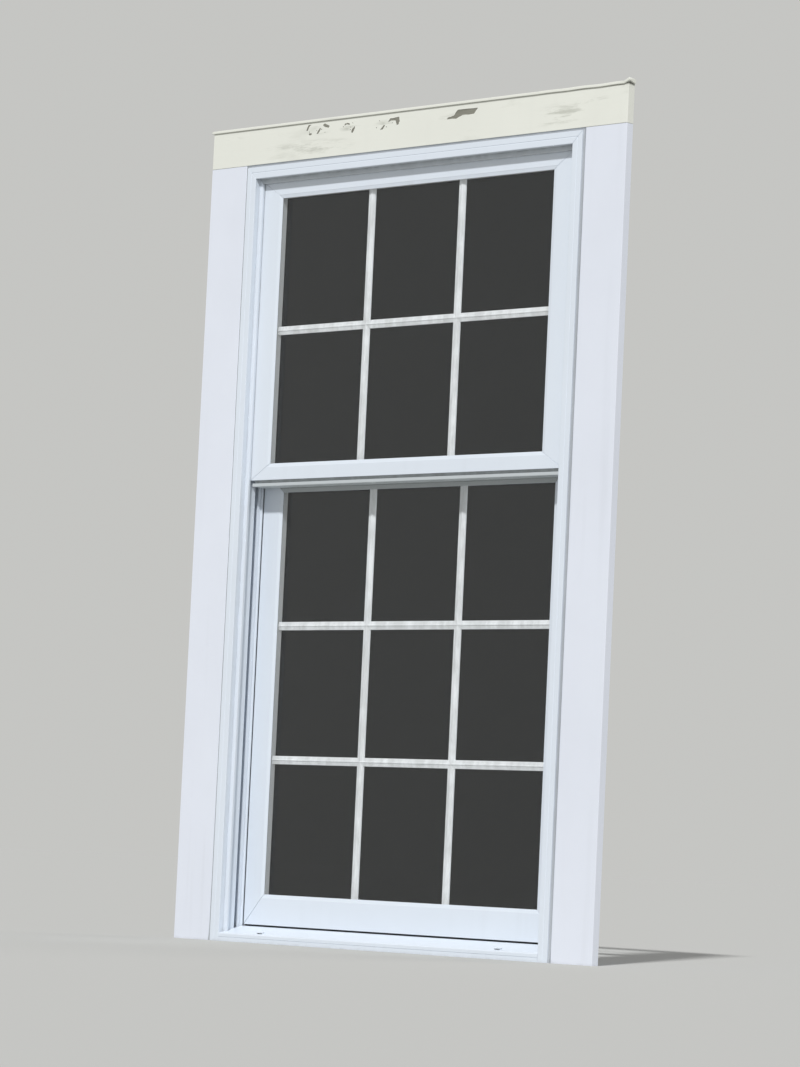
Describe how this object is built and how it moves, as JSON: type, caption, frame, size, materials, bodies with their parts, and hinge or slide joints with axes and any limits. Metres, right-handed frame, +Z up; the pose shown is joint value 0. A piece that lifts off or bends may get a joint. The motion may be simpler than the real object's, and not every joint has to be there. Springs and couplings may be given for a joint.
{
  "type": "sash window",
  "caption": "Double-hung sash window in its frame, with casings, head casing and cap; both sashes slide on spring balances, with tilt latches and cam locks.",
  "frame": {"origin": "middle of the sill's underside, half way through the frame's depth", "axes": "+X to the right as seen from outside, +Y into the room, +Z up"},
  "size_m": [1.19, 0.118, 1.794],
  "materials": {
    "vinyl": "white extruded vinyl, satin",
    "glass": "clear coated float glass",
    "grille_enamel": "white baked enamel, satin",
    "spacer_metal": "mill finish, dull",
    "casing_paint": "white house paint, satin",
    "head_paint": "weathered cream house paint, chipped",
    "cap_paint": "weathered cream house paint",
    "sealant": "grey-white sealant, weathered",
    "pile": "grey pile",
    "seal_rubber": "black rubber",
    "zinc_steel": "zinc plated",
    "tube_aluminium": "plain drawn tube",
    "shoe_plastic": "moulded nylon",
    "lock_enamel": "white enamel on die-cast metal",
    "latch_plastic": "white moulded nylon"
  },
  "bodies": {
    "frame": {"frame_head": "vinyl", "frame_jamb_left": "vinyl", "frame_jamb_right": "vinyl", "frame_sill": "vinyl", "sill_weep_covers": "vinyl", "casing_left": "casing_paint", "casing_right": "casing_paint", "head_casing": "head_paint", "head_cap": "cap_paint", "perimeter_sealant": "sealant", "balance_tube_upper_left": "tube_aluminium", "balance_tube_upper_right": "tube_aluminium", "balance_tube_lower_left": "tube_aluminium", "balance_tube_lower_right": "tube_aluminium", "balance_tube_screws": "zinc_steel"},
    "upper_sash": {"upper_top_rail": "vinyl", "upper_bottom_rail": "vinyl", "upper_stile_left": "vinyl", "upper_stile_right": "vinyl", "upper_outer_pane": "glass", "upper_inner_pane": "glass", "upper_spacer": "spacer_metal", "upper_grille": "grille_enamel", "upper_glazing_beads": "vinyl", "upper_setting_blocks": "seal_rubber", "upper_weatherstrips": "pile", "upper_pivot_bars": "zinc_steel", "upper_balance_shoe_left": "shoe_plastic", "upper_balance_shoe_right": "shoe_plastic", "upper_balance_rod_left": "zinc_steel", "upper_balance_rod_right": "zinc_steel", "upper_rail_sweep": "vinyl", "lock_keepers": "lock_enamel", "keeper_screws": "zinc_steel"},
    "lower_sash": {"lower_top_rail": "vinyl", "lower_bottom_rail": "vinyl", "lower_stile_left": "vinyl", "lower_stile_right": "vinyl", "lower_outer_pane": "glass", "lower_inner_pane": "glass", "lower_spacer": "spacer_metal", "lower_grille": "grille_enamel", "lower_glazing_beads": "vinyl", "lower_setting_blocks": "seal_rubber", "lower_weatherstrips": "pile", "lower_pivot_bars": "zinc_steel", "lower_balance_shoe_left": "shoe_plastic", "lower_balance_shoe_right": "shoe_plastic", "lower_balance_rod_left": "zinc_steel", "lower_balance_rod_right": "zinc_steel", "lower_bottom_seal": "seal_rubber", "lock_housing_left": "lock_enamel", "lock_housing_right": "lock_enamel", "lock_screws": "zinc_steel"},
    "lock_cam_left": {"lock_cam_left": "lock_enamel"},
    "lock_cam_right": {"lock_cam_right": "lock_enamel"},
    "upper_tilt_latch_left": {"upper_tilt_latch_left": "latch_plastic"},
    "upper_tilt_latch_right": {"upper_tilt_latch_right": "latch_plastic"},
    "lower_tilt_latch_left": {"lower_tilt_latch_left": "latch_plastic"},
    "lower_tilt_latch_right": {"lower_tilt_latch_right": "latch_plastic"}
  },
  "joints": [
    {"name": "upper_sash_slide", "type": "slide", "parent": "frame", "child": "upper_sash", "axis": [0, 0, -1], "range_m": [0, 0.54]},
    {"name": "lower_sash_slide", "type": "slide", "parent": "frame", "child": "lower_sash", "axis": [0, 0, 1], "range_m": [0, 0.6]},
    {"name": "lock_cam_left_turn", "type": "hinge", "parent": "lower_sash", "child": "lock_cam_left", "pos_m": [-0.2, 0.026, 1.041], "axis": [0, 0, 1], "range_deg": [0, 90]},
    {"name": "lock_cam_right_turn", "type": "hinge", "parent": "lower_sash", "child": "lock_cam_right", "pos_m": [0.2, 0.026, 1.041], "axis": [0, 0, -1], "range_deg": [0, 90]},
    {"name": "upper_tilt_latch_left_draw", "type": "slide", "parent": "upper_sash", "child": "upper_tilt_latch_left", "axis": [1, 0, 0], "range_m": [0, 0.014], "stiffness_N_per_m": 250, "springref_m": -0.004},
    {"name": "upper_tilt_latch_right_draw", "type": "slide", "parent": "upper_sash", "child": "upper_tilt_latch_right", "axis": [-1, 0, 0], "range_m": [0, 0.014], "stiffness_N_per_m": 250, "springref_m": -0.004},
    {"name": "lower_tilt_latch_left_draw", "type": "slide", "parent": "lower_sash", "child": "lower_tilt_latch_left", "axis": [1, 0, 0], "range_m": [0, 0.014], "stiffness_N_per_m": 250, "springref_m": -0.004},
    {"name": "lower_tilt_latch_right_draw", "type": "slide", "parent": "lower_sash", "child": "lower_tilt_latch_right", "axis": [-1, 0, 0], "range_m": [0, 0.014], "stiffness_N_per_m": 250, "springref_m": -0.004}
  ]
}
